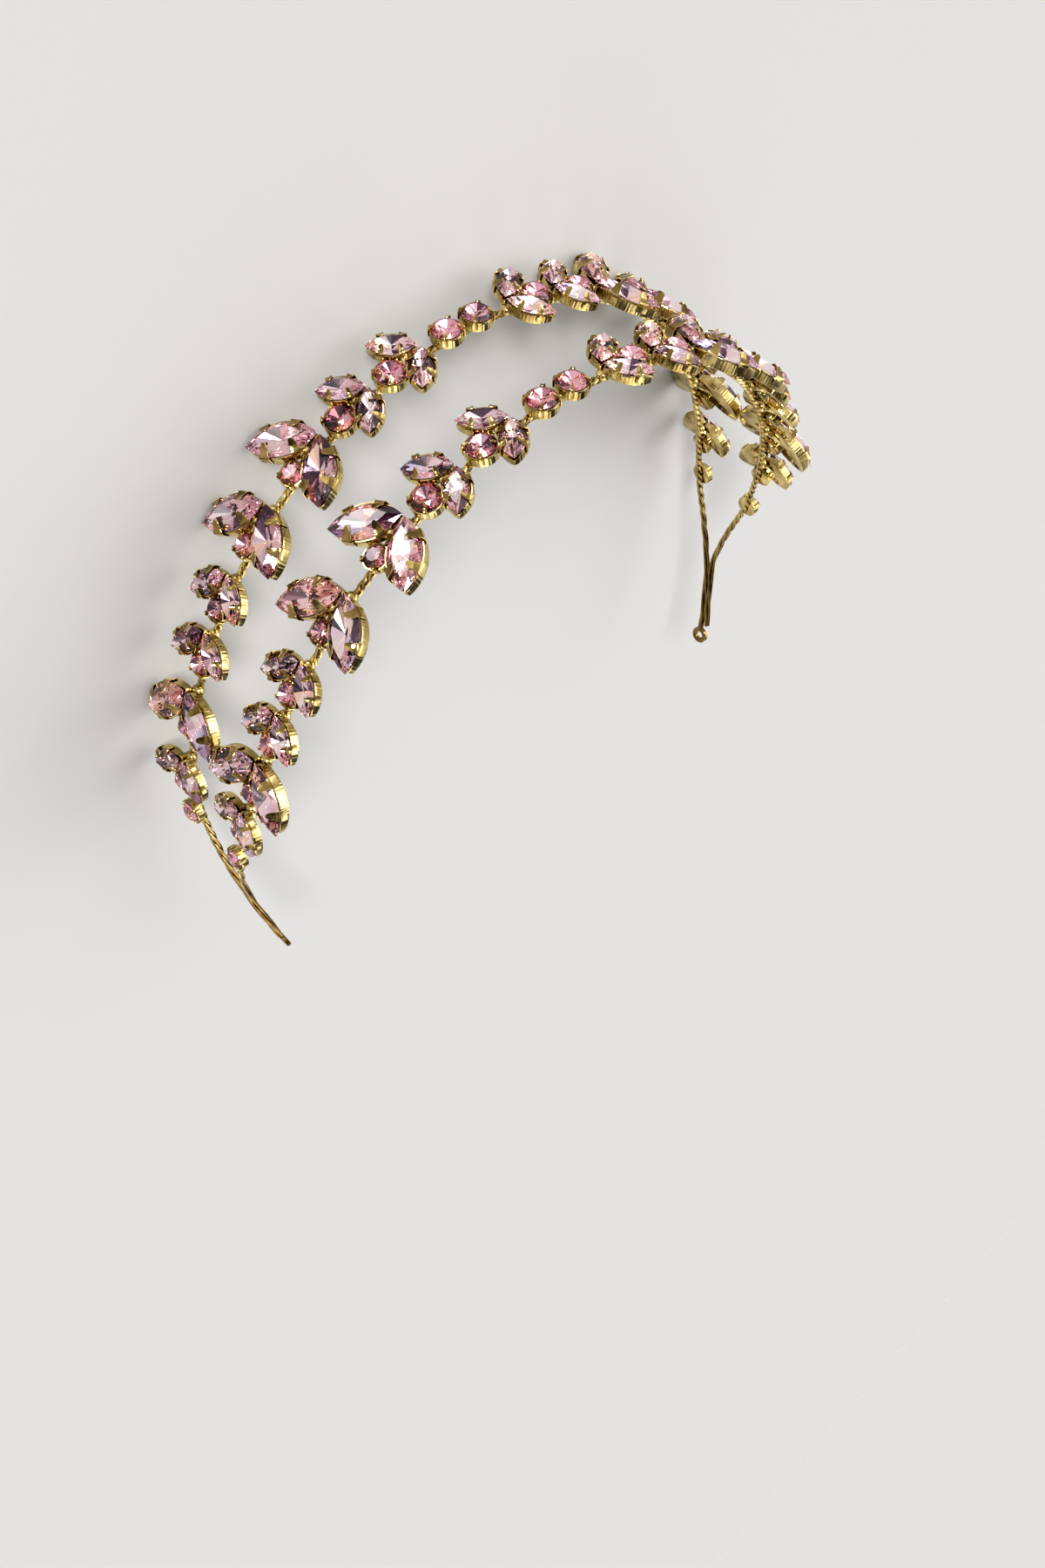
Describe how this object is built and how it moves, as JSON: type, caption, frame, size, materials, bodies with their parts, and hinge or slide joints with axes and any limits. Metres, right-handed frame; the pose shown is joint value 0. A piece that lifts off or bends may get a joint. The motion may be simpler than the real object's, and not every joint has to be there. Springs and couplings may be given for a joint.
{
  "type": "bridal crown",
  "caption": "Open arched headband crown: twin rows of gold wire carry V clusters of claw-set pink stones and join at each end in a small eye for a tie or hairpin.",
  "frame": {"origin": "centre of the underside of the box round the crown, on the surface that its rear row rests on", "axes": "+X from the wearer's right end towards the left end, +Y towards the top of the head, +Z towards the front when worn"},
  "size_m": [0.1676, 0.1402, 0.049],
  "materials": {
    "gold_metal": "polished gold plate",
    "pale_pink_stone": "faceted pale pink crystal",
    "rose_pink_stone": "faceted rose pink crystal"
  },
  "bodies": {
    "root": {"front_left_centre_round": "rose_pink_stone", "front_left_marquise_2_front_arm": "pale_pink_stone", "front_left_marquise_2_rear_arm": "pale_pink_stone", "front_left_marquise_5_front_arm": "pale_pink_stone", "front_left_marquise_5_rear_arm": "pale_pink_stone", "front_left_marquise_6_front_arm": "pale_pink_stone", "front_left_marquise_6_rear_arm": "pale_pink_stone", "front_left_round_7": "rose_pink_stone", "front_left_round_8": "rose_pink_stone", "front_right_centre_round": "rose_pink_stone", "front_right_marquise_2_front_arm": "pale_pink_stone", "front_right_marquise_2_rear_arm": "pale_pink_stone", "front_right_marquise_5_front_arm": "pale_pink_stone", "front_right_marquise_5_rear_arm": "pale_pink_stone", "front_right_marquise_6_front_arm": "pale_pink_stone", "front_right_marquise_6_rear_arm": "pale_pink_stone", "front_right_round_7": "rose_pink_stone", "front_right_round_8": "rose_pink_stone", "front_row": "gold_metal", "rear_left_centre_round": "rose_pink_stone", "rear_left_marquise_2_front_arm": "pale_pink_stone", "rear_left_marquise_2_rear_arm": "pale_pink_stone", "rear_left_marquise_5_front_arm": "pale_pink_stone", "rear_left_marquise_5_rear_arm": "pale_pink_stone", "rear_left_marquise_6_front_arm": "pale_pink_stone", "rear_left_marquise_6_rear_arm": "pale_pink_stone", "rear_left_round_7": "rose_pink_stone", "rear_left_round_8": "rose_pink_stone", "rear_right_centre_round": "rose_pink_stone", "rear_right_marquise_2_front_arm": "pale_pink_stone", "rear_right_marquise_2_rear_arm": "pale_pink_stone", "rear_right_marquise_5_front_arm": "pale_pink_stone", "rear_right_marquise_5_rear_arm": "pale_pink_stone", "rear_right_marquise_6_front_arm": "pale_pink_stone", "rear_right_marquise_6_rear_arm": "pale_pink_stone", "rear_right_round_7": "rose_pink_stone", "rear_right_round_8": "rose_pink_stone", "rear_row": "gold_metal"}
  },
  "joints": []
}
